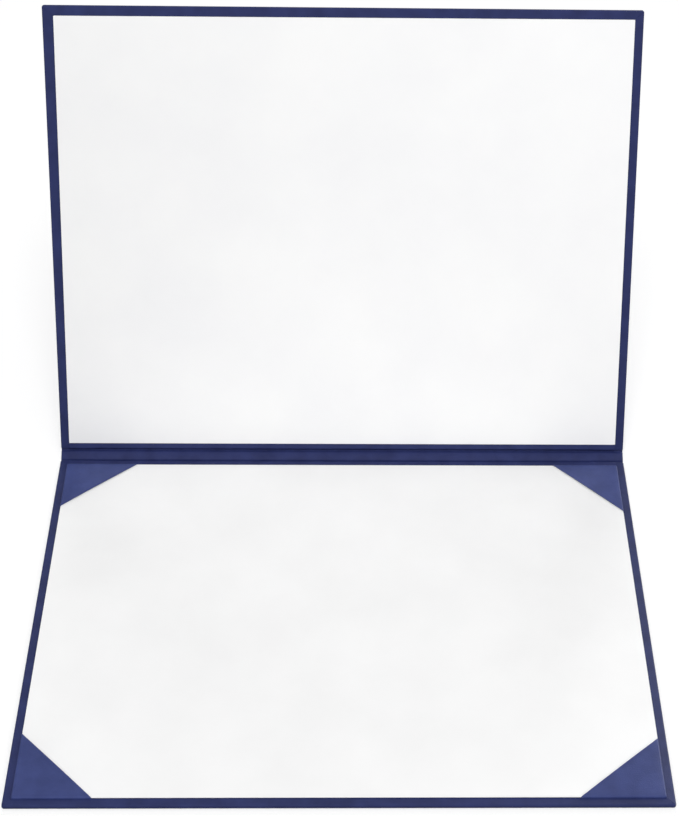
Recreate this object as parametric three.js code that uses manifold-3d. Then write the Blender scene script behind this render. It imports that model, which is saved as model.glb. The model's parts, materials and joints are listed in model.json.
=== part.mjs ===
// Diploma cover for one 11 by 8.5 inch sheet, lying open on a table with its upper cover raised.
//
// Millimetres, +Z up, X along the hinge. The lower cover lies flat, the spine slopes up behind it and the
// upper cover leans back. The origin is the middle of the lower cover's underside. Each cover is a board
// wrapped in leatherette that is turned in over three edges. A strip of the same leatherette lines the
// hinge. The lower cover carries a white insert card in four folded corner pockets, the upper one a liner.
//
// Every piece is modelled flat, with the outside of the cover at z = 0 and the hinge it hangs on at y = 0.

import * as THREE from "three";
import { mergeVertices } from "three/addons/utils/BufferGeometryUtils.js";
import Module from "manifold-3d";

const wasm = await Module();
wasm.setup();

// Driving dimensions: the case
const coverWidth = 292.1; // along the hinge
const closedDepth = 228.6; // closed, from the front edge to the outside of the spine
const boardThickness = 1.6;
const clothThickness = 0.25; // leatherette
const glueLine = 0.05; // between glued layers
const turnIn = 16; // leatherette folded over onto the inside
const cornerRadius = 1.8; // of a cover, seen from above
const edgeRadius = 0.7; // where the leatherette rolls over a board's edge
const mitreStart = 1.4; // a turn-in's mitre starts this far inside the cover's corner
const mitreGap = 0.15; // between the two turn-ins that meet in a mitre

// Driving dimensions: the hinge
const hingeFold = 34.5; // degrees that each of the two creases is folded at rest
const hingeClearance = 0.15; // between layers that swing past each other in a crease
const closingGap = 0.3; // between the pockets and the upper liner when the cover is shut
const inlayThickness = 0.4; // card strip in the spine
const stripLap = 14; // of the hinge strip onto each board
const stripEndBorder = 4.4; // from the cover's side to the end of the hinge strip
const stripRamp = 2; // where the strip climbs onto the side turn-ins

// Driving dimensions: the upper liner, with its borders measured to the board's edges
const linerThickness = 0.25;
const linerSideBorder = 4.4;
const linerTopBorder = 4.4;
const linerHingeBorder = 3.0;

// Driving dimensions: the insert card and its corner pockets
const cardThickness = 0.4;
const cardSideBorder = 4.1;
const cardFrontBorder = 4.0;
const cardHingeBorder = 3.8;
const pocketLegs = {
  // along the hinge, and along the cover's side: folded by hand, so no two are quite alike
  front_left: [34, 36],
  front_right: [37, 33],
  back_left: [36, 32],
  back_right: [33, 35],
};
const pocketSlot = 0.25; // room for the sheet between the card and a pocket
const pocketFlap = 10; // of a pocket, glued under the card
const pocketEdgeRadius = 0.1;

// Levels above the outside of a cover, from the layers under them
const halfWidth = coverWidth / 2;
const boardBottom = clothThickness + glueLine;
const boardTop = boardBottom + boardThickness;
const coverTop = boardTop + glueLine + clothThickness; // of a turn-in
const stripTop = coverTop + glueLine + clothThickness; // where the strip lies on the turn-ins
const cardBottom = stripTop + glueLine;
const cardTop = cardBottom + cardThickness;
const pocketTop = cardTop + pocketSlot + clothThickness;
const linerBottom = stripTop + glueLine;
const linerTop = linerBottom + linerThickness;

// Levels in the spine, above its outside
const inlayBottom = clothThickness + glueLine;
const inlayTop = inlayBottom + inlayThickness;
const spineTurnTop = inlayTop + glueLine + clothThickness;
const spineTop = spineTurnTop + glueLine + clothThickness;

// The creases. Each one folds on the middle of the outer leatherette.
const axisHeight = clothThickness / 2;
const skinEnd = axisHeight + hingeClearance;
const innerEnd = 2 * clothThickness + glueLine - axisHeight + hingeClearance;
const creaseWidth = spineTop - axisHeight + hingeClearance + clothThickness + glueLine;
const spineLength = pocketTop + closingGap + linerTop - 2 * axisHeight;

// Places along a cover, from its crease towards its free edge
const frontY = axisHeight - closedDepth;
const boardEndY = -creaseWidth;
const stripInnerY = boardEndY - stripLap;
const stripHalf = halfWidth - stripEndBorder;
const turnInHalf = halfWidth - turnIn;
const cardHalf = halfWidth - cardSideBorder;
const cardFrontY = frontY + cardFrontBorder;
const cardBackY = boardEndY - cardHingeBorder;

// Longer than anything here, for cuts that run right through
const reach = 2 * (coverWidth + closedDepth);

// Turns a closed geometry into a solid that can be joined and cut.
function solidOf(geometry) {
  const bare = geometry.index ? geometry.toNonIndexed() : geometry.clone();
  bare.deleteAttribute("normal");
  bare.deleteAttribute("uv");
  const merged = mergeVertices(bare, 1e-4);
  return new wasm.Manifold(
    new wasm.Mesh({
      numProp: 3,
      vertProperties: merged.attributes.position.array,
      triVerts: new Uint32Array(merged.index.array),
    }),
  );
}

// Turns a solid back into a geometry with flat faces.
function geometryOf(solid) {
  const mesh = solid.getMesh();
  const geometry = new THREE.BufferGeometry();
  geometry.setAttribute("position", new THREE.BufferAttribute(mesh.vertProperties, 3));
  geometry.setIndex(new THREE.BufferAttribute(mesh.triVerts, 1));
  const flat = geometry.toNonIndexed();
  flat.computeVertexNormals();
  return flat;
}

// A block between two opposite corners.
function block([x0, y0, z0], [x1, y1, z1]) {
  const geometry = new THREE.BoxGeometry(x1 - x0, y1 - y0, z1 - z0);
  geometry.translate((x0 + x1) / 2, (y0 + y1) / 2, (z0 + z1) / 2);
  return solidOf(geometry);
}

// An upright prism on an outline, with its top and bottom edges rolled over by a radius.
function rolledPrism(shape, bottom, top, radius) {
  const roll = Math.min(radius, 0.45 * (top - bottom));
  const geometry = new THREE.ExtrudeGeometry(shape, {
    depth: top - bottom - 2 * roll,
    bevelThickness: roll,
    bevelSize: roll,
    bevelOffset: -roll,
    bevelSegments: 3,
    curveSegments: 6,
  });
  geometry.translate(0, 0, bottom + roll);
  return solidOf(geometry);
}

// A plate with the cover's outline, made smaller all round by an inset. It has rolled edges and round
// corners, and it runs on past the hinge.
function coverPlate(inset, bottom, top) {
  const radius = Math.max(cornerRadius - inset, glueLine);
  const roll = Math.min(Math.max(edgeRadius - inset, glueLine), 0.9 * radius);
  const x = halfWidth - inset;
  const y = frontY + inset;
  const shape = new THREE.Shape();
  shape.moveTo(x, turnIn);
  shape.lineTo(-x, turnIn);
  shape.lineTo(-x, y + radius);
  shape.absarc(-x + radius, y + radius, radius, Math.PI, 1.5 * Math.PI);
  shape.lineTo(x - radius, y);
  shape.absarc(x - radius, y + radius, radius, 1.5 * Math.PI, 2 * Math.PI);
  shape.closePath();
  return rolledPrism(shape, bottom, top, roll);
}

// A block whose top steps up from one level to another where it crosses the edges of the side turn-ins.
function steppedBlock(half, y0, y1, bottom, middleTop, endTop) {
  const stepEnd = turnInHalf - glueLine;
  const stepStart = stepEnd - stripRamp;
  const shape = new THREE.Shape();
  shape.moveTo(-half, bottom);
  shape.lineTo(half, bottom);
  shape.lineTo(half, endTop);
  shape.lineTo(stepEnd, endTop);
  shape.lineTo(stepStart, middleTop);
  shape.lineTo(-stepStart, middleTop);
  shape.lineTo(-stepEnd, endTop);
  shape.lineTo(-half, endTop);
  shape.closePath();
  const geometry = new THREE.ExtrudeGeometry(shape, { depth: y1 - y0, bevelEnabled: false });
  geometry.rotateX(Math.PI / 2);
  geometry.translate(0, y1, 0);
  return solidOf(geometry);
}

// Cuts a wrap back beside a crease, so that only its skin runs on. The wall that closes the wrap there,
// one layer thick, stays only past the ends of the hinge strip. Edge is the wall's inner side, and out is
// the direction away from the wrap, 1 or -1.
function cutCrease(wrap, edge, out) {
  const cutFrom = (y, half) => {
    const [low, high] = out > 0 ? [y, reach] : [-reach, y];
    return block([-half, low, clothThickness], [half, high, reach]);
  };
  return wrap
    .subtract(cutFrom(edge + out * clothThickness, reach))
    .subtract(cutFrom(edge - out * glueLine, stripHalf + glueLine));
}

// The slit of a mitred corner, where two turn-ins meet at 45 degrees. Side is -1 left, 1 right.
function mitreSlit(side) {
  const length = Math.SQRT2 * (turnIn - mitreStart);
  const geometry = new THREE.BoxGeometry(length, mitreGap, 2 * clothThickness);
  geometry.rotateZ((side * -3 * Math.PI) / 4);
  const middle = (turnIn + mitreStart) / 2;
  geometry.translate(side * (halfWidth - middle), frontY + middle, coverTop);
  return solidOf(geometry);
}

// The leatherette of one cover: the outer skin, rolled over three edges and turned in. At the hinge the
// skin runs on into the crease, and beside the hinge strip it goes down over the board's edge.
function coverCloth() {
  const boardRoom = coverPlate(clothThickness, clothThickness, coverTop - clothThickness).subtract(
    block([-reach, boardEndY + glueLine, -reach], [reach, reach, reach]),
  );
  const window = block(
    [-turnInHalf, frontY + turnIn, boardTop],
    [turnInHalf, reach, coverTop + clothThickness],
  );
  const wrap = coverPlate(0, 0, coverTop)
    .subtract(block([-reach, -skinEnd, -reach], [reach, reach, reach]))
    .subtract(boardRoom)
    .subtract(window)
    .subtract(mitreSlit(-1))
    .subtract(mitreSlit(1));
  return cutCrease(wrap, boardEndY + glueLine, 1);
}

// The board inside one cover.
function coverBoard() {
  return coverPlate(clothThickness + glueLine, boardBottom, boardTop).subtract(
    block([-reach, boardEndY, -reach], [reach, reach, reach]),
  );
}

// The hinge strip's part on one cover: lapped onto the board, down its edge and along the crease.
function hingeStrip() {
  const outside = steppedBlock(
    stripHalf,
    stripInnerY,
    boardEndY + glueLine + clothThickness,
    boardBottom,
    stripTop - clothThickness - glueLine,
    stripTop,
  );
  const inside = steppedBlock(
    reach,
    stripInnerY - stripLap,
    boardEndY + glueLine,
    -reach,
    coverTop - clothThickness,
    coverTop + glueLine,
  );
  const foot = block(
    [-stripHalf, boardEndY + glueLine, boardBottom],
    [stripHalf, -innerEnd, boardBottom + clothThickness],
  );
  return outside.subtract(inside).add(foot);
}

// The spine's leatherette, rolled over and turned in at its two ends, around the card inlay.
function spineCloth() {
  const inlayRoomStart = innerEnd + clothThickness;
  const inlayRoomEnd = spineLength - inlayRoomStart;
  const outline = new THREE.Shape();
  outline.moveTo(-halfWidth, -turnIn);
  outline.lineTo(halfWidth, -turnIn);
  outline.lineTo(halfWidth, spineLength + turnIn);
  outline.lineTo(-halfWidth, spineLength + turnIn);
  outline.closePath();
  const inlayRoom = block(
    [-halfWidth + clothThickness, inlayRoomStart, clothThickness],
    [halfWidth - clothThickness, inlayRoomEnd, spineTurnTop - clothThickness],
  );
  const wrap = rolledPrism(outline, 0, spineTurnTop, edgeRadius)
    .subtract(block([-reach, -reach, -reach], [reach, skinEnd, reach]))
    .subtract(block([-reach, spineLength - skinEnd, -reach], [reach, reach, reach]))
    .subtract(inlayRoom)
    .subtract(block([-turnInHalf, -reach, inlayTop], [turnInHalf, reach, reach]));
  return cutCrease(cutCrease(wrap, inlayRoomStart, -1), inlayRoomEnd, 1);
}

// The thin card that stiffens the spine between its two creases.
function spineInlay() {
  const start = innerEnd + clothThickness + glueLine;
  const half = halfWidth - clothThickness - glueLine;
  return block([-half, start, inlayBottom], [half, spineLength - start, inlayTop]);
}

// The hinge strip's middle part: over the inlay and down its two long edges.
function spineLining() {
  const outside = steppedBlock(
    stripHalf,
    innerEnd,
    spineLength - innerEnd,
    inlayBottom,
    spineTop - clothThickness - glueLine,
    spineTop,
  );
  const inside = steppedBlock(
    reach,
    innerEnd + clothThickness,
    spineLength - innerEnd - clothThickness,
    -reach,
    spineTurnTop - clothThickness,
    spineTurnTop + glueLine,
  );
  return outside.subtract(inside);
}

// The white liner glued inside the upper cover, over its turn-ins and its hinge strip.
function upperLiner() {
  const half = halfWidth - linerSideBorder;
  return block(
    [-half, frontY + linerTopBorder, linerBottom],
    [half, boardEndY - linerHingeBorder, linerTop],
  );
}

// The stiff white card that the sheet lies on.
function insertCard() {
  return block([-cardHalf, cardFrontY, cardBottom], [cardHalf, cardBackY, cardTop]);
}

// One corner pocket: a leatherette triangle over the card's corner, folded down its two edges and glued
// under it. Side is -1 left, 1 right. End is -1 at the front, 1 at the hinge, where the hinge strip lies
// under the card and the flap on that edge is trimmed away. The legs are measured along the card's edges.
function cornerPocket(side, end, [widthLeg, sideLeg]) {
  const cornerY = end < 0 ? cardFrontY : cardBackY;
  const wall = glueLine + clothThickness;
  // A block given by its distances in from the card's two edges at this corner
  const cornerBlock = ([u0, v0, z0], [u1, v1, z1]) => {
    const xs = [side * (cardHalf - u0), side * (cardHalf - u1)].sort((a, b) => a - b);
    const ys = [cornerY - end * v0, cornerY - end * v1].sort((a, b) => a - b);
    return block([xs[0], ys[0], z0], [xs[1], ys[1], z1]);
  };
  const corners = [
    [-wall, -wall],
    [widthLeg + wall, -wall],
    [-wall, sideLeg + wall],
  ].map(([u, v]) => new THREE.Vector2(side * (cardHalf - u), cornerY - end * v));
  if (THREE.ShapeUtils.isClockWise(corners)) {
    corners.reverse();
  }
  const triangle = rolledPrism(
    new THREE.Shape(corners),
    coverTop + glueLine,
    pocketTop,
    pocketEdgeRadius,
  );
  const cardRoom = cornerBlock(
    [-glueLine, -glueLine, stripTop],
    [reach, reach, pocketTop - clothThickness],
  );
  const underCard = cornerBlock([pocketFlap, pocketFlap, -reach], [reach, reach, cardBottom]);
  const pocket = triangle.subtract(cardRoom).subtract(underCard);
  if (end < 0) {
    return pocket;
  }
  const trim = Math.max(pocketFlap, cardBackY - stripInnerY + glueLine);
  return pocket.subtract(cornerBlock([-reach, -reach, -reach], [reach, trim, cardBottom]));
}

// Materials
const leatherette = new THREE.MeshStandardMaterial({
  name: "navy_leatherette",
  color: 0x32375c,
  roughness: 0.55,
  metalness: 0,
});
const board = new THREE.MeshStandardMaterial({
  name: "grey_board",
  color: 0x8d8778,
  roughness: 0.9,
  metalness: 0,
});
const whitePaper = new THREE.MeshStandardMaterial({
  name: "white_paper",
  color: 0xf4f4f2,
  roughness: 0.6,
  metalness: 0,
});

function meshOf(name, solid, material) {
  const mesh = new THREE.Mesh(geometryOf(solid), material);
  mesh.name = name;
  return mesh;
}

function coverPieces(which) {
  return [
    meshOf(`${which}_cover_cloth`, coverCloth(), leatherette),
    meshOf(`${which}_board`, coverBoard(), board),
    meshOf(`${which}_hinge_strip`, hingeStrip(), leatherette),
  ];
}

// A group that folds up about the hinge axis, holding pieces that are modelled with their outside at z = 0.
function foldedGroup(y, z) {
  const hinge = new THREE.Group();
  hinge.position.set(0, y, z);
  hinge.rotation.x = THREE.MathUtils.degToRad(hingeFold);
  const flat = new THREE.Group();
  flat.position.z = -axisHeight;
  hinge.add(flat);
  return { hinge, flat };
}

const diplomaCover = new THREE.Group();
diplomaCover.name = "diploma_cover";

const lowerCover = new THREE.Group();
lowerCover.position.y = -frontY / 2;
lowerCover.add(...coverPieces("lower"));
lowerCover.add(meshOf("insert_card", insertCard(), whitePaper));
for (const [corner, legs] of Object.entries(pocketLegs)) {
  const side = corner.endsWith("left") ? -1 : 1;
  const end = corner.startsWith("front") ? -1 : 1;
  lowerCover.add(meshOf(`pocket_${corner}`, cornerPocket(side, end, legs), leatherette));
}

const spine = foldedGroup(lowerCover.position.y, axisHeight);
spine.flat.add(meshOf("spine_cloth", spineCloth(), leatherette));
spine.flat.add(meshOf("spine_inlay", spineInlay(), board));
spine.flat.add(meshOf("spine_lining", spineLining(), leatherette));

const upperHinge = foldedGroup(spineLength, 0);
const upperCover = new THREE.Group();
upperCover.rotation.z = Math.PI;
upperCover.add(...coverPieces("upper"));
upperCover.add(meshOf("upper_liner", upperLiner(), whitePaper));
upperHinge.flat.add(upperCover);
spine.hinge.add(upperHinge.hinge);

diplomaCover.add(lowerCover, spine.hinge);

export default diplomaCover;
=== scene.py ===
"""A navy diploma cover that stands open on a table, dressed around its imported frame.

The lower cover lies flat with a white card in four corner pockets, and the upper cover leans back on a
spine with two creases. Every piece is modelled flat, with the outside of the cover at z = 0 and its
crease along y = 0, and is then folded and put in its place. Lengths are in metres.
"""

import json
import logging
import math
from collections.abc import Callable, Sequence
from dataclasses import dataclass
from enum import Enum

import bmesh
import bpy
from mathutils import Matrix, Vector


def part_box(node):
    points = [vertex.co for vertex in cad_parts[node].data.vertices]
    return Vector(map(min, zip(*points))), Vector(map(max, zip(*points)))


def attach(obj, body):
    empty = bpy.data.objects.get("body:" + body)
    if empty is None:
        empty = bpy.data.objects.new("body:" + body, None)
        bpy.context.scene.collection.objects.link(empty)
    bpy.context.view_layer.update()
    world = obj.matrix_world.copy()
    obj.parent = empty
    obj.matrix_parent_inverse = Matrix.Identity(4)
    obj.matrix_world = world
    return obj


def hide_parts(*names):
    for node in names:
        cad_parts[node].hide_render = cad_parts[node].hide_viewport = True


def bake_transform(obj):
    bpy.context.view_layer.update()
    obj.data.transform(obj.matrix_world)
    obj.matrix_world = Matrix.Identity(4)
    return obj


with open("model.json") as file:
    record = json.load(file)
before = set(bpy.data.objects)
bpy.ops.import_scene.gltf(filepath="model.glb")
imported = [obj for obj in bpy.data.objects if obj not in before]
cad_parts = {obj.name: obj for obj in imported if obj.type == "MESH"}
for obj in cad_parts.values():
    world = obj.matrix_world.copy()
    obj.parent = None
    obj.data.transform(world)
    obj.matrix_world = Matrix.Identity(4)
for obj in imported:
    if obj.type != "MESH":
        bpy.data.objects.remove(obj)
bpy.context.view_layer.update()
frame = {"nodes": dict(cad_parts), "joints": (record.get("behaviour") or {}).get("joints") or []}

log = logging.getLogger("diploma_cover")

MM = 0.001
NEAR = 0.004 * MM  # two places this close count as one
CUT_WELD = NEAR / 4  # a cut this close to a vertex goes through it
TURNED = 0.9  # cosine at which a face counts as turned one way
FLAT = 0.99  # cosine at which it counts as square to that way
PHOTO_WIDTH = 679
PHOTO_HEIGHT = 816
WHITE = (1.0, 1.0, 1.0, 1.0)
NOISE_BAND = (0.3, 0.7)  # where nearly all of a noise texture's values lie
PEBBLE_SMOOTHNESS = 0.6


class Cover(Enum):
    """One of the two covers, by the word that its nodes and body start with."""

    LOWER = "lower"
    UPPER = "upper"

    @property
    def body(self) -> str:
        """The body that this cover rides on."""
        return f"{self.value}_cover"


class Side(Enum):
    """A side of the cover, as the sign of X."""

    LEFT = -1
    RIGHT = 1


class End(Enum):
    """An end of the lower cover, as the sign of Y."""

    FRONT = -1
    BACK = 1


def srgb(red: int, green: int, blue: int) -> tuple[float, float, float, float]:
    """Turns a colour as seen on a screen into the linear one that a shader takes.

    Args:
        red: The red channel, from 0 to 255.
        green: The green channel, from 0 to 255.
        blue: The blue channel, from 0 to 255.

    Returns:
        The linear colour with full alpha.
    """

    def linear(level: int) -> float:
        """One channel of the colour, made linear."""
        share = level / 255
        return share / 12.92 if share <= 0.04045 else ((share + 0.055) / 1.055) ** 2.4

    return linear(red), linear(green), linear(blue), 1.0


def smooth_step(value: float) -> float:
    """A soft rise from 0 to 1 as value goes from 0 to 1."""
    held = min(max(value, 0.0), 1.0)
    return held * held * (3 - 2 * held)


class Bench:
    """Shapes one mesh in edit mode, where each tool works on what is picked by its place."""

    def __init__(self, piece: bpy.types.Object) -> None:
        """Keeps the piece that is worked on."""
        self.piece = piece

    def __enter__(self) -> "Bench":
        """Selects the piece alone and opens it in edit mode.

        Returns:
            The bench itself.
        """
        select_only(self.piece)
        bpy.ops.object.mode_set(mode="EDIT")
        return self

    def __exit__(self, *problem: object) -> None:
        """Closes edit mode."""
        bpy.ops.object.mode_set(mode="OBJECT")

    def _mesh(self) -> bmesh.types.BMesh:
        """Gives the mesh that is being edited.

        Returns:
            The mesh, with its normals up to date.
        """
        mesh = bmesh.from_edit_mesh(self.piece.data)
        mesh.normal_update()
        return mesh

    def _pick(self, mode: str, chosen: Sequence) -> int:
        """Selects some vertices, edges or faces and nothing else.

        Args:
            mode: VERT, EDGE or FACE.
            chosen: What is selected.

        Returns:
            How many were selected.
        """
        bpy.ops.mesh.select_mode(type=mode)
        bpy.ops.mesh.select_all(action="DESELECT")
        for element in chosen:
            element.select_set(True)
        bmesh.update_edit_mesh(self.piece.data)
        return len(chosen)

    def pick_all(self) -> None:
        """Selects the whole mesh."""
        bpy.ops.mesh.select_mode(type="FACE")
        bpy.ops.mesh.select_all(action="SELECT")

    def pick_vertices(self, test: Callable[[Vector], bool]) -> int:
        """Selects the vertices whose place passes a test, and returns how many did."""
        mesh = self._mesh()
        return self._pick("VERT", [v for v in mesh.verts if test(v.co)])

    def pick_row(self, row: float) -> int:
        """Selects the vertices at one place along Y, and returns how many there are."""
        return self.pick_vertices(lambda point: abs(point.y - row) < NEAR)

    def pick_edges(self, test: Callable[[Vector, Vector], bool]) -> int:
        """Selects the edges that pass a test.

        Args:
            test: Takes the places of an edge's two ends.

        Returns:
            How many were selected.
        """
        mesh = self._mesh()
        found = [e for e in mesh.edges if test(e.verts[0].co, e.verts[1].co)]
        return self._pick("EDGE", found)

    def pick_faces(self, test: Callable[[Vector, Vector], bool]) -> int:
        """Selects the faces that pass a test.

        Args:
            test: Takes a face's middle and its normal.

        Returns:
            How many were selected.
        """
        mesh = self._mesh()
        found = [f for f in mesh.faces if test(f.calc_center_median(), f.normal)]
        return self._pick("FACE", found)

    def cut(self, place: Sequence[float], normal: Sequence[float], drop_outer: bool = False) -> None:
        """Cuts what is picked along a plane.

        Args:
            place: A point on the plane.
            normal: The plane's normal.
            drop_outer: Whether what lies on the normal's side is removed and the cut closed.
        """
        bpy.ops.mesh.bisect(
            plane_co=place,
            plane_no=normal,
            use_fill=drop_outer,
            clear_outer=drop_outer,
            threshold=CUT_WELD,
        )

    def cut_all(self, place: Sequence[float], normal: Sequence[float]) -> None:
        """Cuts the whole mesh along a plane and keeps both halves."""
        self.pick_all()
        self.cut(place, normal)


def select_only(piece: bpy.types.Object) -> None:
    """Leaves one object selected and active.

    Args:
        piece: The object.
    """
    bpy.ops.object.select_all(action="DESELECT")
    piece.select_set(True)
    bpy.context.view_layer.objects.active = piece


def settle(name: str, size: Sequence[float]) -> bpy.types.Object:
    """Names the piece that was just added, and puts its place and size in its mesh.

    Args:
        name: The piece's name.
        size: Its size.

    Returns:
        The piece, selected alone.
    """
    piece = bpy.context.active_object
    piece.name = name
    piece.data.name = name
    piece.scale = size
    select_only(piece)
    bpy.ops.object.transform_apply(location=True, rotation=True, scale=True)
    return piece


def add_block(name: str, low: Vector, high: Vector) -> bpy.types.Object:
    """Adds a block between two corners.

    Args:
        name: The new piece's name.
        low: The lowest corner.
        high: The highest corner.

    Returns:
        The block, selected alone.
    """
    bpy.ops.object.select_all(action="DESELECT")
    bpy.ops.mesh.primitive_cube_add(size=1, location=(low + high) / 2)
    return settle(name, high - low)


def add_sheet(name: str, low: Vector, high: Vector) -> bpy.types.Object:
    """Adds a flat sheet between two corners at the height of the lower one.

    Args:
        name: The new piece's name.
        low: The corner with the lowest X and Y, which also gives the height.
        high: The corner with the highest X and Y.

    Returns:
        The sheet, selected alone.
    """
    bpy.ops.object.select_all(action="DESELECT")
    middle = (low + high) / 2
    bpy.ops.mesh.primitive_plane_add(size=1, location=(middle.x, middle.y, low.z))
    return settle(name, (high.x - low.x, high.y - low.y, 1))


def thicken(piece: bpy.types.Object, thickness: float, outwards: bool) -> None:
    """Gives a sheet its thickness, to one side of its surface.

    Args:
        piece: The sheet.
        thickness: How thick it becomes.
        outwards: Whether it grows to the side that its normals point to.
    """
    select_only(piece)
    solidify = piece.modifiers.new("solidify", "SOLIDIFY")
    solidify.thickness = thickness
    solidify.offset = 1 if outwards else -1
    solidify.use_even_offset = True
    bpy.ops.object.modifier_apply(modifier=solidify.name)


def smooth_by_angle(piece: bpy.types.Object, degrees: float) -> None:
    """Shades a piece smooth, apart from edges sharper than an angle."""
    select_only(piece)
    bpy.ops.object.shade_smooth_by_angle(angle=math.radians(degrees))


def flat_box(node: str, place: Matrix) -> tuple[Vector, Vector]:
    """Gives a frame node's lowest and highest corner where it lies flat.

    Args:
        node: The node's name.
        place: The matrix that takes a flat piece to where the node is.

    Returns:
        The two corners.
    """
    back = place.inverted()
    points = [back @ v.co for v in frame["nodes"][node].data.vertices]
    low = Vector(min(p[axis] for p in points) for axis in range(3))
    high = Vector(max(p[axis] for p in points) for axis in range(3))
    return low, high


@dataclass(frozen=True)
class Layers:
    """What the cover's layers measure."""

    cloth: float = 0.25 * MM
    glue: float = 0.05 * MM
    inlay: float = 0.4 * MM
    turn_in: float = 16 * MM  # leatherette folded over onto the inside of a cover

    @property
    def lapped(self) -> float:
        """How much one more glued layer of leatherette adds."""
        return self.cloth + self.glue


@dataclass(frozen=True)
class Dip:
    """How a layer inside the hinge falls into a crease and rises onto the spine."""

    fall_early: float  # it starts to fall this far before the board's edge
    fall: float  # it falls over this length
    rise_late: float  # it starts to rise this far past the crease
    rise: float  # it rises over this length
    cut_early: float  # its first cut is this far before the board's edge
    cuts: int
    crease_width: float = 1.625 * MM  # from the board's edge to the crease

    def height(self, y: float, board: float, crease: float, spine: float) -> float:
        """Gives the layer's height at one place.

        Args:
            y: The place along the cover, from the crease.
            board: The layer's height over the board.
            crease: Its height in the crease.
            spine: Its height over the spine.

        Returns:
            The height.
        """
        if y <= 0:
            share = smooth_step((y + self.crease_width + self.fall_early) / self.fall)
            return board + share * (crease - board)
        share = smooth_step((y - self.rise_late) / self.rise)
        return crease + share * (spine - crease)

    def rows(self, end: float) -> list[float]:
        """Gives the places where the layer is cut so that it can bend.

        Args:
            end: Where the layer ends, past the last cut.

        Returns:
            The places along the cover, from the crease.
        """
        start = -self.crease_width - self.cut_early
        return [start + (end - start) * cut / self.cuts for cut in range(self.cuts)]


@dataclass(frozen=True)
class Hinge:
    """The two creases at rest, as the frame's joints give them."""

    lower: Vector
    upper: Vector
    fold: float
    half_bend: float = 0.4 * MM

    @classmethod
    def from_frame(cls) -> "Hinge":
        """Reads the creases from the frame, where the lowest angle of each one is flat.

        Returns:
            The hinge at rest.
        """
        joints = {joint["name"]: joint for joint in frame["joints"]}
        return cls(
            lower=Vector(joints["lower_crease"]["pos_m"]),
            upper=Vector(joints["upper_crease"]["pos_m"]),
            fold=-math.radians(joints["lower_crease"]["range_deg"][0]),
        )

    @property
    def axis_height(self) -> float:
        """How far above the outside of the cover a crease turns."""
        return self.lower.z

    @property
    def spine_middle(self) -> float:
        """The distance from a crease to the middle of the spine."""
        return (self.upper - self.lower).length / 2

    def place(self, cover: Cover) -> Matrix:
        """Gives the matrix that takes a flat cover to its place.

        Args:
            cover: The cover that is placed.

        Returns:
            The matrix from the flat frame to the frame at rest.
        """
        if cover is Cover.LOWER:
            return Matrix.Translation((0, self.lower.y, 0))
        drop = Matrix.Translation((0, 0, -self.axis_height))
        turn = Matrix.Rotation(2 * self.fold, 4, "X")
        about = Matrix.Rotation(math.pi, 4, "Z")
        return Matrix.Translation(self.upper) @ turn @ drop @ about

    def fold_and_place(self, piece: bpy.types.Object, cover: Cover) -> None:
        """Folds what lies past the crease up by the resting angle, then puts the piece in place.

        Args:
            piece: A piece modelled flat.
            cover: The cover whose crease it crosses.
        """
        axis = Vector((0, 0, self.axis_height))
        place = self.place(cover)
        for vertex in piece.data.vertices:
            share = smooth_step((vertex.co.y + self.half_bend) / (2 * self.half_bend))
            turn = Matrix.Rotation(share * self.fold, 4, "X")
            vertex.co = place @ (axis + turn @ (vertex.co - axis))
        piece.data.update()

    def ride(self, piece: bpy.types.Object, cover: Cover) -> None:
        """Bakes a piece's place into its mesh and leaves its object at the origin.

        Args:
            piece: A piece in its place.
            cover: The cover whose crease it crosses. Its place is worked out but not used.
        """
        place = self.place(cover)
        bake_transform(piece)


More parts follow.
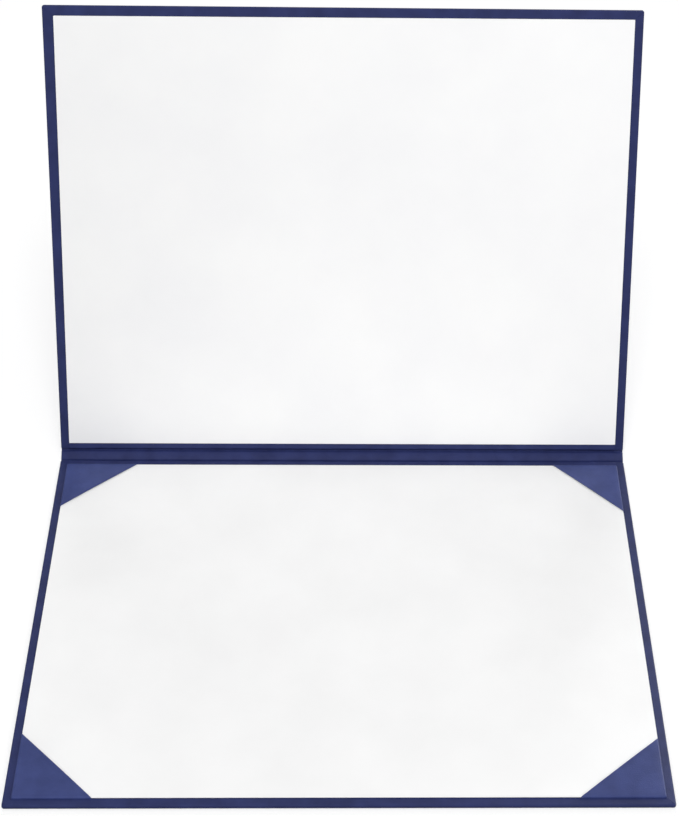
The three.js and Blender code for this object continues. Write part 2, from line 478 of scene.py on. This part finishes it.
class Nodes:
    """A short way to wire a procedural material."""

    def __init__(self, name: str) -> None:
        """Starts a material with its shader.

        Args:
            name: The material's name.
        """
        self.material = bpy.data.materials.new(name)
        self.material.use_nodes = True
        self.tree = self.material.node_tree
        self.shader = self.tree.nodes["Principled BSDF"]
        coordinates = self.add("ShaderNodeTexCoord")
        self.place = coordinates.outputs["Object"]

    def add(self, kind: str, **settings: object) -> bpy.types.Node:
        """Adds a node to the material.

        Args:
            kind: The node's type.
            **settings: The node's own options, by their names.

        Returns:
            The node.
        """
        node = self.tree.nodes.new(kind)
        for key, value in settings.items():
            setattr(node, key, value)
        return node

    def link(self, output: bpy.types.NodeSocket, target: bpy.types.NodeSocket) -> None:
        """Joins an output to an input."""
        self.tree.links.new(output, target)

    def noise(self, size: float, detail: float = 3.0) -> bpy.types.NodeSocket:
        """Gives a noise.

        Args:
            size: About how large its features are, in metres.
            detail: How many finer noises it holds.

        Returns:
            The noise's value.
        """
        node = self.add("ShaderNodeTexNoise")
        self.link(self.place, node.inputs["Vector"])
        node.inputs["Scale"].default_value = 1 / size
        node.inputs["Detail"].default_value = detail
        return node.outputs["Fac"]

    def pebbles(self, size: float) -> bpy.types.NodeSocket:
        """Gives rounded cells, low in their middles and high between them.

        Args:
            size: About how large a cell is, in metres.

        Returns:
            The distance from a cell's middle, as a share of the size.
        """
        node = self.add("ShaderNodeTexVoronoi", feature="SMOOTH_F1")
        self.link(self.place, node.inputs["Vector"])
        node.inputs["Scale"].default_value = 1 / size
        node.inputs["Smoothness"].default_value = PEBBLE_SMOOTHNESS
        return node.outputs["Distance"]

    def spread(self, value: bpy.types.NodeSocket, low: float, high: float) -> bpy.types.NodeSocket:
        """Maps a noise from its usual band to another range.

        Args:
            value: The noise.
            low: Where the band starts after the change.
            high: Where the band ends after it.

        Returns:
            The changed value.
        """
        node = self.add("ShaderNodeMapRange")
        self.link(value, node.inputs["Value"])
        node.inputs["From Min"].default_value = NOISE_BAND[0]
        node.inputs["From Max"].default_value = NOISE_BAND[1]
        node.inputs["To Min"].default_value = low
        node.inputs["To Max"].default_value = high
        return node.outputs["Result"]

    def paint(
        self,
        dark: tuple[int, int, int],
        light: tuple[int, int, int],
        size: float,
        detail: float,
    ) -> None:
        """Colours the shader in two tones, mottled by a noise.

        Args:
            dark: The dark tone, as seen on a screen.
            light: The light tone.
            size: The noise's size, in metres.
            detail: The noise's detail.
        """
        tone = self.spread(self.noise(size, detail), 0, 1)
        node = self.add("ShaderNodeMix", data_type="RGBA")
        self.link(tone, node.inputs["Factor"])
        node.inputs["A"].default_value = srgb(*dark)
        node.inputs["B"].default_value = srgb(*light)
        self.link(node.outputs["Result"], self.shader.inputs["Base Color"])

    def roughen(self, middle: float, around: float, size: float) -> None:
        """Lets the shader's roughness vary with a noise.

        Args:
            middle: The mean roughness.
            around: How far it goes up and down.
            size: The noise's size, in metres.
        """
        rough = self.spread(self.noise(size), middle - around, middle + around)
        self.link(rough, self.shader.inputs["Roughness"])

    def by_ray(self, other: float, camera: float) -> bpy.types.NodeSocket:
        """Gives the camera's own rays one value and all other rays another.

        Args:
            other: The value for all other rays.
            camera: The value for the camera's rays.

        Returns:
            The value.
        """
        path = self.add("ShaderNodeLightPath")
        node = self.add("ShaderNodeMapRange")
        self.link(path.outputs["Is Camera Ray"], node.inputs["Value"])
        node.inputs["To Min"].default_value = other
        node.inputs["To Max"].default_value = camera
        return node.outputs["Result"]

    def bump(
        self,
        height: bpy.types.NodeSocket,
        depth: float,
        below: bpy.types.NodeSocket | None = None,
    ) -> bpy.types.NodeSocket:
        """Turns a height into a bumped normal.

        Args:
            height: The height, from 0 to 1.
            depth: How far a height of 1 stands out, in metres.
            below: A normal that this one lies on.

        Returns:
            The bumped normal.
        """
        node = self.add("ShaderNodeBump")
        self.link(height, node.inputs["Height"])
        node.inputs["Distance"].default_value = depth
        if below is not None:
            self.link(below, node.inputs["Normal"])
        return node.outputs["Normal"]


@dataclass(frozen=True)
class Leatherette:
    """Embossed navy leatherette with a fine pebble grain and a soft sheen."""

    name: str = "navy_leatherette"
    dark: tuple[int, int, int] = (34, 41, 83)
    light: tuple[int, int, int] = (42, 50, 97)
    mottle: float = 9 * MM
    mottle_detail: float = 5
    roughness: float = 0.5
    rubbing: float = 0.05
    rubbing_size: float = 3 * MM
    gloss: float = 0.28
    grain: float = 0.5 * MM
    grain_depth: float = 0.05 * MM
    pore: float = 0.16 * MM
    pore_depth: float = 0.014 * MM
    wave: float = 24 * MM
    wave_depth: float = 0.10 * MM

    def material(self) -> bpy.types.Material:
        """Builds the material from a grain, fine pores and a slow waviness.

        Returns:
            The material.
        """
        nodes = Nodes(self.name)
        nodes.paint(self.dark, self.light, self.mottle, self.mottle_detail)
        nodes.roughen(self.roughness, self.rubbing, self.rubbing_size)
        slow = nodes.bump(nodes.noise(self.wave, 1), self.wave_depth)
        grain = nodes.bump(nodes.pebbles(self.grain), self.grain_depth, slow)
        pores = nodes.bump(nodes.noise(self.pore), self.pore_depth, grain)
        nodes.link(pores, nodes.shader.inputs["Normal"])
        nodes.shader.inputs["Specular IOR Level"].default_value = self.gloss
        return nodes.material


@dataclass(frozen=True)
class WhiteStock:
    """Smooth white card or liner paper with a faint fibre."""

    name: str
    dark: tuple[int, int, int]
    light: tuple[int, int, int]
    mottle: float = 45 * MM
    mottle_detail: float = 4
    roughness: float = 0.55
    rubbing: float = 0.04
    rubbing_size: float = 5 * MM
    fibre: float = 0.5 * MM
    fibre_detail: float = 6
    fibre_depth: float = 0.006 * MM
    wave: float = 60 * MM
    wave_depth: float = 0.12 * MM

    def material(self) -> bpy.types.Material:
        """Builds the material from two close whites and a fibre's bump.

        Returns:
            The material.
        """
        nodes = Nodes(self.name)
        nodes.paint(self.dark, self.light, self.mottle, self.mottle_detail)
        nodes.roughen(self.roughness, self.rubbing, self.rubbing_size)
        slow = nodes.bump(nodes.noise(self.wave, 1), self.wave_depth)
        fibre = nodes.bump(nodes.noise(self.fibre, self.fibre_detail), self.fibre_depth, slow)
        nodes.link(fibre, nodes.shader.inputs["Normal"])
        return nodes.material


@dataclass(frozen=True)
class GreyBoard:
    """Unlined grey book board, with flecks of its pulp."""

    name: str = "grey_board"
    dark: tuple[int, int, int] = (128, 122, 108)
    light: tuple[int, int, int] = (158, 152, 138)
    fleck: float = 0.8 * MM
    fleck_detail: float = 8
    roughness: float = 0.9
    rubbing: float = 0.05
    rubbing_size: float = 2 * MM
    pulp: float = 0.4 * MM
    pulp_detail: float = 6
    pulp_depth: float = 0.02 * MM

    def material(self) -> bpy.types.Material:
        """Builds the material from a coarse fleck and a rough bump.

        Returns:
            The material.
        """
        nodes = Nodes(self.name)
        nodes.paint(self.dark, self.light, self.fleck, self.fleck_detail)
        nodes.roughen(self.roughness, self.rubbing, self.rubbing_size)
        pulp = nodes.bump(nodes.noise(self.pulp, self.pulp_detail), self.pulp_depth)
        nodes.link(pulp, nodes.shader.inputs["Normal"])
        return nodes.material


def dress(piece: bpy.types.Object, material: bpy.types.Material) -> None:
    """Gives a new piece its material.

    Args:
        piece: The piece that is dressed.
        material: Its material.
    """
    piece.data.materials.clear()
    piece.data.materials.append(material)


@dataclass
class CoverWrap:
    """The outer leatherette of one cover, from its free edge to the middle of the spine.

    It is rolled over three edges and turned in. Along both sides the turn-in runs on, pressed down into
    the crease and up over the spine's inlay.
    """

    cover: Cover
    hinge: Hinge
    layers: Layers
    corner_radius: float = 1.1 * MM
    corner_steps: int = 6
    edge_radius: float = 0.7 * MM
    edge_steps: int = 4
    mitre_width: float = 0.12 * MM
    mitre_depth: float = 0.12 * MM
    smooth_angle: float = 40
    dip: Dip = Dip(
        fall_early=0.1 * MM,
        fall=0.8 * MM,
        rise_late=0.45 * MM,
        rise=0.9 * MM,
        cut_early=0.2 * MM,
        cuts=22,
    )

    def __post_init__(self) -> None:
        """Reads the cover's outline from the frame."""
        node = f"{self.cover.value}_cover_cloth"
        low, high = flat_box(node, self.hinge.place(self.cover))
        self.half_width = high.x
        self.front = low.y
        self.top = high.z
        self.end = self.hinge.spine_middle
        self.window_half = self.half_width - self.layers.turn_in
        self.window_front = self.front + self.layers.turn_in

    def top_at(self, y: float) -> float:
        """Gives the height of the turn-in's upper face along the cover.

        Args:
            y: The place along the cover, from the crease.

        Returns:
            The height above the outside.
        """
        pressed = 2 * self.layers.cloth + self.layers.glue
        spine = pressed + self.layers.inlay + self.layers.glue
        return self.dip.height(y, self.top, pressed, spine)

    def _roll_edges(self, bench: Bench) -> None:
        """Rounds the two free corners and rolls the leatherette over the three free edges.

        Args:
            bench: The wrap in edit mode.
        """
        bench.pick_edges(lambda a, b: abs(a.z - b.z) > NEAR and max(a.y, b.y) < self.front + NEAR)
        bpy.ops.mesh.bevel(offset=self.corner_radius, segments=self.corner_steps, affect="EDGES")
        bench.pick_edges(lambda a, b: abs(a.z - b.z) < NEAR and min(a.y, b.y) < self.end - NEAR)
        bpy.ops.mesh.bevel(offset=self.edge_radius, segments=self.edge_steps, affect="EDGES")
        bench.pick_faces(lambda middle, normal: normal.y > TURNED)
        bpy.ops.mesh.delete(type="ONLY_FACE")

    def _on_top(self, middle: Vector, normal: Vector) -> bool:
        """Whether a face is part of the flat upper side."""
        return normal.z > FLAT and middle.z > self.top - NEAR

    def _open_window(self, bench: Bench) -> None:
        """Cuts the upper side back to a turn-in along the three free edges.

        Args:
            bench: The wrap in edit mode.
        """
        for place, normal in (
            ((-self.window_half, 0, 0), (1, 0, 0)),
            ((self.window_half, 0, 0), (1, 0, 0)),
            ((0, self.window_front, 0), (0, 1, 0)),
        ):
            bench.pick_faces(self._on_top)
            bench.cut(place, normal)
        bench.pick_faces(
            lambda middle, normal: self._on_top(middle, normal)
            and abs(middle.x) < self.window_half
            and middle.y > self.window_front
        )
        bpy.ops.mesh.delete(type="FACE")

    def _mitre(self, bench: Bench, side: Side) -> None:
        """Sinks a fine line where the two turn-ins meet at one corner.

        Args:
            bench: The wrap in edit mode.
            side: The corner's side.

        Raises:
            RuntimeError: If the cut left no line to sink.
        """
        slope = Vector((side.value, 1, 0)).normalized()
        corner = Vector((side.value * self.window_half, self.window_front, 0))

        def off_line(point: Vector) -> float:
            """How far a point lies from the mitre's line."""
            return abs((point - corner).dot(slope))

        bench.pick_faces(
            lambda middle, normal: self._on_top(middle, normal)
            and side.value * middle.x > self.window_half
            and middle.y < self.window_front
        )
        bench.cut(corner, slope)
        found = bench.pick_edges(
            lambda a, b: min(a.z, b.z) > self.top - NEAR
            and max(off_line(a), off_line(b)) < NEAR
            and side.value * a.x > 0
            and (a - b).length > self.mitre_width
        )
        if not found:
            raise RuntimeError(f"{self.cover.value} wrap: no mitre was cut on the {side.name} side")
        bpy.ops.mesh.bevel(offset=self.mitre_width, segments=2, affect="EDGES")
        bench.pick_vertices(
            lambda point: point.z > self.top - NEAR
            and off_line(point) < NEAR
            and side.value * point.x > 0
        )
        bpy.ops.transform.translate(value=(0, 0, -self.mitre_depth))

    def _press_crease(self, bench: Bench) -> None:
        """Presses the turn-in down into the crease and lets it rise over the spine's inlay.

        Args:
            bench: The wrap in edit mode.
        """
        rows = self.dip.rows(self.end)
        for row in rows:
            bench.cut_all((0, row, 0), (0, 1, 0))
        for row in [*rows, self.end]:
            bench.pick_row(row)
            bpy.ops.transform.resize(
                value=(1, 1, self.top_at(row) / self.top),
                center_override=(0, 0, 0),
            )

    def build(self, material: bpy.types.Material) -> bpy.types.Object:
        """Models, folds and dresses the wrap.

        Args:
            material: The leatherette.

        Returns:
            The wrap in its place.
        """
        low = Vector((-self.half_width, self.front, 0))
        high = Vector((self.half_width, self.end, self.top))
        wrap = add_block(f"{self.cover.value}_wrap", low, high)
        with Bench(wrap) as bench:
            self._roll_edges(bench)
            self._open_window(bench)
            for side in Side:
                self._mitre(bench, side)
            self._press_crease(bench)
        thicken(wrap, self.layers.cloth, outwards=False)
        self.hinge.fold_and_place(wrap, self.cover)
        smooth_by_angle(wrap, self.smooth_angle)
        dress(wrap, material)
        self.hinge.ride(wrap, self.cover)
        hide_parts(f"{self.cover.value}_cover_cloth", "spine_cloth")
        return wrap


@dataclass
class HingeLining:
    """Half of the strip that lines the hinge, from its lap on one board to the middle of the spine.

    It runs down through the crease, and its two ends lie on the side turn-ins.
    """

    cover: Cover
    hinge: Hinge
    layers: Layers
    ramp: float = 2 * MM  # where the strip climbs onto a side turn-in
    crown: float = 0.3 * MM  # how far the spine's hump is rounded up
    smooth_angle: float = 50
    dip: Dip = Dip(
        fall_early=0.35 * MM,
        fall=1.3 * MM,
        rise_late=0.25 * MM,
        rise=1.1 * MM,
        cut_early=0.5 * MM,
        cuts=26,
    )

    def __post_init__(self) -> None:
        """Reads the strip's outline from the frame."""
        place = self.hinge.place(self.cover)
        low, high = flat_box(f"{self.cover.value}_hinge_strip", place)
        half_width = flat_box(f"{self.cover.value}_cover_cloth", place)[1].x
        self.half_length = high.x
        self.start = low.y
        self.end = self.hinge.spine_middle
        self.board_level = high.z - self.layers.cloth - self.layers.lapped
        self.crease_level = self.layers.lapped
        self.spine_level = self.crease_level + self.layers.inlay + self.layers.glue
        self.ramp_end = half_width - self.layers.turn_in - self.layers.glue
        self.ramp_start = self.ramp_end - self.ramp

    def under_at(self, y: float) -> float:
        """Gives the height of the strip's underside along the cover, away from its ends.

        Args:
            y: The place along the cover, from the crease.

        Returns:
            The height above the outside.
        """
        level = self.dip.height(y, self.board_level, self.crease_level, self.spine_level)
        if y <= 0:
            return level
        return level + self.crown * math.sin(0.5 * math.pi * min(y / self.end, 1))

    def _cut(self, bench: Bench) -> None:
        """Cuts the strip across the crease, and at both ends of its two ramps.

        Args:
            bench: The strip in edit mode.
        """
        for row in self.dip.rows(self.end):
            bench.cut_all((0, row, 0), (0, 1, 0))
        for column in (-self.ramp_end, -self.ramp_start, self.ramp_start, self.ramp_end):
            bench.cut_all((column, 0, 0), (1, 0, 0))

    def _press(self, bench: Bench) -> None:
        """Lays the strip on the board, in the crease and on the spine, and its ends on the turn-ins.

        Args:
            bench: The strip in edit mode.
        """
        for row in [self.start, *self.dip.rows(self.end), self.end]:
            bench.pick_row(row)
            bpy.ops.transform.translate(value=(0, 0, self.under_at(row)))
        bench.pick_vertices(lambda point: abs(point.x) > self.ramp_end - NEAR)
        bpy.ops.transform.translate(value=(0, 0, self.layers.lapped))

    def build(self, material: bpy.types.Material) -> bpy.types.Object:
        """Models, folds and dresses the strip.

        Args:
            material: The leatherette.

        Returns:
            The strip in its place.
        """
        low = Vector((-self.half_length, self.start, 0))
        high = Vector((self.half_length, self.end, 0))
        lining = add_sheet(f"{self.cover.value}_hinge_lining", low, high)
        with Bench(lining) as bench:
            self._cut(bench)
            self._press(bench)
        thicken(lining, self.layers.cloth, outwards=True)
        self.hinge.fold_and_place(lining, self.cover)
        smooth_by_angle(lining, self.smooth_angle)
        dress(lining, material)
        self.hinge.ride(lining, self.cover)
        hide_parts(f"{self.cover.value}_hinge_strip", "spine_lining")
        return lining


@dataclass
class FlatStock:
    """A white sheet of card or paper, with softened edges, glued onto one cover."""

    node: str
    cover: Cover
    hinge: Hinge
    slot: str
    slip: tuple[float, float] = (0, 0)
    softness: float = 0.08 * MM
    softness_steps: int = 2
    corner_radius: float = 4 * softness
    corner_steps: int = 3
    smooth_angle: float = 40

    def _slip_corner(self, sheet: bpy.types.Object, low: Vector, high: Vector) -> None:
        """Draws one free corner in a little, because the sheet was trimmed by hand.

        Args:
            sheet: The sheet where it lies flat.
            low: Its lowest corner.
            high: Its highest corner, by the crease. Its own side and the crease's side stay put.
        """
        for vertex in sheet.data.vertices:
            across = (vertex.co.x - low.x) / (high.x - low.x)
            along = (high.y - vertex.co.y) / (high.y - low.y)
            vertex.co.x -= self.slip[0] * across * along
            vertex.co.y += self.slip[1] * across * along

    def build(self, material: bpy.types.Material) -> bpy.types.Object:
        """Models and dresses the sheet where its node lies.

        Args:
            material: The white finish.

        Returns:
            The sheet in its place.
        """
        place = self.hinge.place(self.cover)
        low, high = flat_box(self.node, place)
        sheet = add_block(f"{self.node}_sheet", low, high)
        with Bench(sheet) as bench:
            bench.pick_edges(lambda a, b: abs(a.z - b.z) > NEAR)
            bpy.ops.mesh.bevel(offset=self.corner_radius, segments=self.corner_steps, affect="EDGES")
            bench.pick_edges(lambda a, b: abs(a.z - b.z) < NEAR)
            bpy.ops.mesh.bevel(offset=self.softness, segments=self.softness_steps, affect="EDGES")
        self._slip_corner(sheet, low, high)
        sheet.data.transform(place)
        smooth_by_angle(sheet, self.smooth_angle)
        dress(sheet, material)
        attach(sheet, self.cover.body)
        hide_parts(self.node)
        return sheet


@dataclass
class CornerPocket:
    """A leatherette triangle over one corner of the card, folded down its two edges and glued under it."""

    side: Side
    end: End
    layers: Layers
    fold_radius: float = 0.75 * MM
    fold_steps: int = 4
    rim_steps: int = 5
    flap: float = 10 * MM
    puff: float = 0.22 * MM  # how far the top stands up in its middle
    puff_rise: float = 6 * MM  # over this length from the folds
    grid: int = 12
    mouth_slack: float = 0.004  # share of the legs that still counts as on the mouth's line
    smooth_angle: float = 50

    def __post_init__(self) -> None:
        """Reads the pocket's box from the frame."""
        self.node = f"pocket_{self.end.name.lower()}_{self.side.name.lower()}"
        self.low, self.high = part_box(self.node)
        self.corner = Vector(
            (
                self.low.x if self.side is Side.LEFT else self.high.x,
                self.low.y if self.end is End.FRONT else self.high.y,
                0,
            )
        )
        self.legs = self.high - self.low

    def _inwards(self, point: Vector) -> tuple[float, float]:
        """How far in a point lies from the pocket's two folded edges, along X and along Y."""
        u = self.side.value * (self.corner.x - point.x)
        return u, self.end.value * (self.corner.y - point.y)

    def _beyond_mouth(self, point: Vector) -> float:
        """How far a point lies past the pocket's mouth, as a share of the legs: 0 on the mouth's line."""
        u, v = self._inwards(point)
        return u / self.legs.x + v / self.legs.y - 1

    def _cut_mouth(self, bench: Bench) -> None:
        """Cuts the block along the mouth, from one leg's end to the other's.

        Args:
            bench: The pocket in edit mode.
        """
        start = self.corner - Vector((self.side.value * self.legs.x, 0, 0))
        normal = Vector((-self.side.value / self.legs.x, -self.end.value / self.legs.y, 0)).normalized()
        bench.pick_all()
        bench.cut(start, normal, drop_outer=True)
        bench.pick_faces(lambda middle, face: face.dot(normal) > FLAT)
        bpy.ops.mesh.delete(type="ONLY_FACE")

    def _folded(self, a: Vector, b: Vector) -> bool:
        """Whether the edge from a to b lies along one of the two folds."""
        return any(max(ends) < NEAR for ends in zip(self._inwards(a), self._inwards(b)))

    def _on_rim(self, a: Vector, b: Vector) -> bool:
        """Tells the edges round the top of the folds from all others.

        Args:
            a: One end of an edge.
            b: Its other end.

        Returns:
            Whether the edge runs round the top of the folds.
        """
        reach = self.fold_radius + NEAR
        near = min(self._inwards(a)) < reach and min(self._inwards(b)) < reach
        inside = self._beyond_mouth((a + b) / 2) < -self.mouth_slack
        return min(a.z, b.z) > self.high.z - NEAR and near and inside

    def _fold_edges(self, bench: Bench) -> None:
        """Softens the corner between the two folds, and then the folds' upper edges.

        Args:
            bench: The pocket in edit mode.
        """
        bench.pick_edges(lambda a, b: self._folded(a, b) and abs(a.z - b.z) > NEAR)
        bpy.ops.mesh.bevel(offset=self.fold_radius, segments=self.fold_steps, affect="EDGES")
        bench.pick_edges(self._on_rim)
        bpy.ops.mesh.bevel(offset=self.fold_radius, segments=self.rim_steps, affect="EDGES")

    def _spare(self, middle: Vector, normal: Vector) -> bool:
        """Tells the faces that are cut away under the pocket from all others.

        A back pocket has no flap along the hinge, where the hinge strip lies.

        Args:
            middle: A face's middle.
            normal: Its normal.

        Returns:
            Whether the face is cut away.
        """
        u, v = self._inwards(middle)
        past_flaps = u > self.flap and v > self.flap
        on_hinge = self.end is End.BACK and v < self.flap
        return normal.z < -TURNED and (past_flaps or on_hinge)

    def _trim_flaps(self, bench: Bench) -> None:
        """Leaves only the glued flaps of the underside.

        Args:
            bench: The pocket in edit mode.
        """
        for sign, axis in ((self.side.value, (1, 0, 0)), (self.end.value, (0, 1, 0))):
            bench.pick_faces(lambda middle, normal: normal.z < -TURNED)
            bench.cut(self.corner - sign * self.flap * Vector(axis), axis)
        bench.pick_faces(self._spare)
        bpy.ops.mesh.delete(type="FACE")

    def _grid_top(self, bench: Bench) -> None:
        """Cuts the top into a grid, so that it can swell.

        Args:
            bench: The pocket in edit mode.
        """
        spacing_x = self.legs.x / self.grid
        spacing_y = self.legs.y / self.grid
        for step in range(1, self.grid):
            for place, axis in (
                (self.corner - Vector((self.side.value * step * spacing_x, 0, 0)), (1, 0, 0)),
                (self.corner - Vector((0, self.end.value * step * spacing_y, 0)), (0, 1, 0)),
            ):
                bench.pick_faces(lambda middle, normal: normal.z > TURNED)
                bench.cut(place, axis)

    def _swell(self, pocket: bpy.types.Object) -> None:
        """Lets the top stand up softly in its middle.

        Args:
            pocket: The pocket before it has its thickness.
        """
        for vertex in pocket.data.vertices:
            if vertex.co.z <= self.high.z - NEAR:
                continue
            u, v = self._inwards(vertex.co)
            shares = (min(max(share, 0), 1) for share in (u / self.legs.x, v / self.legs.y))
            rise = sum(math.sin(math.pi * share) for share in shares) / 2
            edge = smooth_step((min(u, v) - self.fold_radius) / self.puff_rise)
            vertex.co.z += self.puff * edge * rise

    def build(self, material: bpy.types.Material) -> bpy.types.Object:
        """Models and dresses the pocket.

        Args:
            material: The leatherette.

        Returns:
            The pocket in its place.
        """
        pocket = add_block(f"{self.node}_fold", self.low, self.high)
        with Bench(pocket) as bench:
            self._cut_mouth(bench)
            self._fold_edges(bench)
            self._trim_flaps(bench)
            self._grid_top(bench)
        self._swell(pocket)
        thicken(pocket, self.layers.cloth, outwards=False)
        smooth_by_angle(pocket, self.smooth_angle)
        dress(pocket, material)
        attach(pocket, Cover.LOWER.body)
        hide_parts(self.node)
        return pocket


@dataclass(frozen=True)
class Lamp:
    """A round soft lamp that points at the cover."""

    name: str
    place: tuple[float, float, float]
    size: float
    power: float
    diffuse: bool = True
    glossy: bool = True
    aim: tuple[float, float, float] = (0, 0.04, 0.06)

    def build(self) -> None:
        """Adds the lamp to the scene."""
        data = bpy.data.lights.new(self.name, "AREA")
        data.shape = "DISK"
        data.size = self.size
        data.energy = self.power
        lamp = bpy.data.objects.new(self.name, data)
        lamp.location = self.place
        lamp.visible_diffuse = self.diffuse
        lamp.visible_glossy = self.glossy
        towards = Vector(self.aim) - Vector(self.place)
        lamp.rotation_euler = towards.to_track_quat("-Z", "Y").to_euler()
        bpy.context.scene.collection.objects.link(lamp)


@dataclass(frozen=True)
class Studio:
    """The floor, the soft lights and the camera at the photograph's viewing angle."""

    camera_place: tuple[float, float, float] = (3.80 * MM, -678.63 * MM, 689.92 * MM)
    camera_turn: tuple[float, float, float] = (50.532, -1.157, -1.074)  # degrees
    focal_pixels: float = 2017.7
    centre_x: float = 405.7  # the lens's axis in the photograph, in pixels
    sensor: float = 36.0
    far: float = 50.0
    floor_size: float = 40.0
    floor_gap: float = 0.05 * MM
    floor_seen: float = 0.62  # how pale the floor is to the camera
    floor_bounce: float = 0.4  # and to the light that it throws back
    floor_fade: tuple[float, float] = (0.28, 0.7)  # it turns plain white over these distances
    sky_front: float = 0.7
    sky_back: float = 0.34
    lamps: tuple[Lamp, ...] = (
        Lamp("front", (0.0, -3.4, 5.0), 3.4, 200.0, glossy=False),
        Lamp("right", (1.7, -0.5, 1.2), 0.9, 4.0),
        Lamp("sheen", (1.6, 1.2, 1.3), 1.2, 34.0, diffuse=False),
        Lamp("rear", (0.0, 4.0, 1.5), 2.5, 75.0, glossy=False),
    )

    def camera(self) -> None:
        """Makes the camera, whose shift puts the lens's axis where it is in the photograph."""
        data = bpy.data.cameras.new("camera")
        data.sensor_width = self.sensor
        data.lens = self.focal_pixels / PHOTO_HEIGHT * self.sensor
        data.shift_x = (PHOTO_WIDTH / 2 - self.centre_x) / PHOTO_HEIGHT
        data.clip_end = self.far
        camera = bpy.data.objects.new("camera", data)
        camera.location = self.camera_place
        camera.rotation_euler = [math.radians(angle) for angle in self.camera_turn]
        bpy.context.scene.collection.objects.link(camera)
        bpy.context.scene.camera = camera

    def _pale_floor(self) -> bpy.types.Material:
        """Builds the floor's finish: pale where it takes the shadow, and plain white far away.

        Returns:
            The material.
        """
        nodes = Nodes("pale_floor")
        pale = nodes.shader.inputs
        nodes.link(nodes.by_ray(self.floor_bounce, self.floor_seen), pale["Base Color"])
        pale["Roughness"].default_value = 1.0
        pale["Specular IOR Level"].default_value = 0.0
        pale["Emission Color"].default_value = WHITE
        nodes.link(nodes.by_ray(0, 1 - self.floor_seen), pale["Emission Strength"])
        away = nodes.add("ShaderNodeVectorMath", operation="LENGTH")
        nodes.link(nodes.place, away.inputs[0])
        fade = nodes.add("ShaderNodeMapRange", interpolation_type="SMOOTHSTEP")
        nodes.link(away.outputs["Value"], fade.inputs["Value"])
        fade.inputs["From Min"].default_value = self.floor_fade[0]
        fade.inputs["From Max"].default_value = self.floor_fade[1]
        white = nodes.add("ShaderNodeEmission")
        nodes.link(nodes.by_ray(self.floor_bounce, 1), white.inputs["Strength"])
        mixed = nodes.add("ShaderNodeMixShader")
        nodes.link(fade.outputs["Result"], mixed.inputs["Fac"])
        nodes.link(nodes.shader.outputs["BSDF"], mixed.inputs[1])
        nodes.link(white.outputs["Emission"], mixed.inputs[2])
        output = nodes.tree.nodes["Material Output"]
        nodes.link(mixed.outputs["Shader"], output.inputs["Surface"])
        return nodes.material

    def floor(self) -> None:
        """Lays a pale floor that keeps the object's shadow."""
        bpy.ops.object.select_all(action="DESELECT")
        bpy.ops.mesh.primitive_plane_add(size=self.floor_size, location=(0, 0, -self.floor_gap))
        floor = bpy.context.active_object
        floor.name = "floor"
        floor.data.materials.append(self._pale_floor())

    def lights(self) -> None:
        """Sets the soft lamps, and a world that the camera sees white and that is dimmer behind."""
        world = bpy.data.worlds.new("soft_white")
        world.use_nodes = True
        tree = world.node_tree
        background = tree.nodes["Background"]
        background.inputs["Color"].default_value = WHITE
        place = tree.nodes.new("ShaderNodeTexCoord")
        split = tree.nodes.new("ShaderNodeSeparateXYZ")
        tree.links.new(place.outputs["Generated"], split.inputs["Vector"])
        sky = tree.nodes.new("ShaderNodeMapRange")
        tree.links.new(split.outputs["Y"], sky.inputs["Value"])
        sky.inputs["From Min"].default_value = -1
        sky.inputs["To Min"].default_value = self.sky_front
        sky.inputs["To Max"].default_value = self.sky_back
        path = tree.nodes.new("ShaderNodeLightPath")
        seen = tree.nodes.new("ShaderNodeMix")
        tree.links.new(path.outputs["Is Camera Ray"], seen.inputs["Factor"])
        tree.links.new(sky.outputs["Result"], seen.inputs["A"])
        seen.inputs["B"].default_value = 1
        tree.links.new(seen.outputs["Result"], background.inputs["Strength"])
        bpy.context.scene.world = world
        for lamp in self.lamps:
            lamp.build()

    def build(self) -> None:
        """Sets up the whole studio and plain colour management."""
        self.camera()
        self.floor()
        self.lights()
        bpy.context.scene.view_settings.view_transform = "Standard"


def report_piece(piece: bpy.types.Object) -> None:
    """Logs one finished piece with its size and its count of faces."""
    size = ", ".join(f"{length / MM:.1f}" for length in piece.dimensions)
    log.info("%s: %s mm, %d faces", piece.name, size, len(piece.data.polygons))


def main() -> None:
    """Builds the studio, then each piece of the cover, and reports them."""
    logging.basicConfig(level=logging.INFO, format="%(name)s %(message)s")
    Studio().build()
    hinge = Hinge.from_frame()
    layers = Layers()
    leatherette = Leatherette().material()
    # The pockets' leatherette is painted lighter than the cover's, as painted sheen for the light that the
    # raised pockets catch. Its lower roughness gives them some real sheen as well.
    pocket_leatherette_painted_sheen = Leatherette(
        name="pocket_leatherette_painted_sheen",
        dark=(51, 61, 110),
        light=(60, 71, 124),
        roughness=0.42,
    ).material()
    card = WhiteStock("white_card", (238, 238, 238), (243, 243, 243)).material()
    liner = WhiteStock("white_liner", (239, 239, 240), (243, 243, 243)).material()
    board = GreyBoard().material()
    for cover in Cover:
        report_piece(CoverWrap(cover, hinge, layers).build(leatherette))
        report_piece(HingeLining(cover, hinge, layers).build(leatherette))
    report_piece(FlatStock("insert_card", Cover.LOWER, hinge, "white_card").build(card))
    liner_slip = (1.1 * MM, 0.5 * MM)
    report_piece(
        FlatStock("upper_liner", Cover.UPPER, hinge, "white_liner", liner_slip).build(liner)
    )
    for side in Side:
        for end in End:
            report_piece(CornerPocket(side, end, layers).build(pocket_leatherette_painted_sheen))
    for node in ("lower_board", "upper_board", "spine_inlay"):
        piece = frame["nodes"][node]
        piece.data.materials.clear()
        piece.data.materials.append(board)
        report_piece(piece)


if __name__ == "__main__":
    main()
